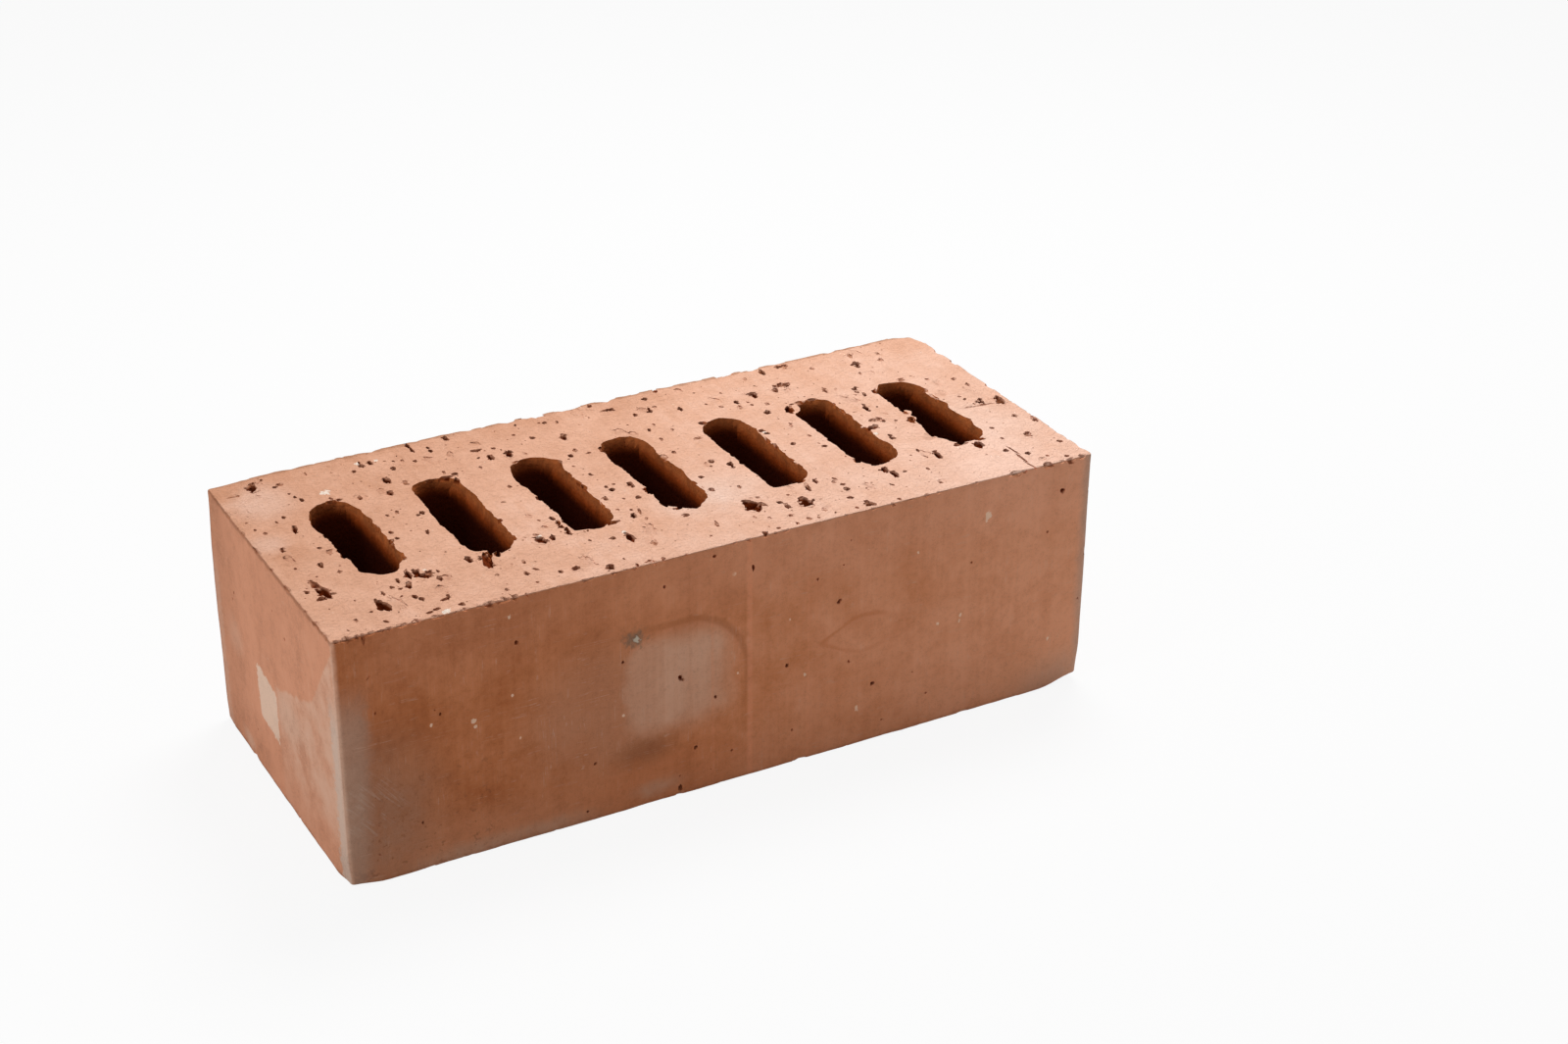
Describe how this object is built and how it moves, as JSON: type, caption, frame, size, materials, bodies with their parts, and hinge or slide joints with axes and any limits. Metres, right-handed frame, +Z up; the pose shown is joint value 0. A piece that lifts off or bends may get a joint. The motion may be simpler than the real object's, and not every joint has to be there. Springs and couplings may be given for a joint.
{
  "type": "clay brick",
  "caption": "Rectangular wire-cut clay brick with a row of round-cornered slots running through its height, for laying in mortar.",
  "frame": {"origin": "middle of the lower bed face, on the floor that the brick lies on", "axes": "+X along the length of the brick, +Y across its width, +Z up, along the slots"},
  "size_m": [0.23, 0.1, 0.075],
  "materials": {
    "fired_clay": "matt, dry fired clay with fine pits and pale scum"
  },
  "bodies": {
    "root": {"brick": "fired_clay"}
  },
  "joints": []
}
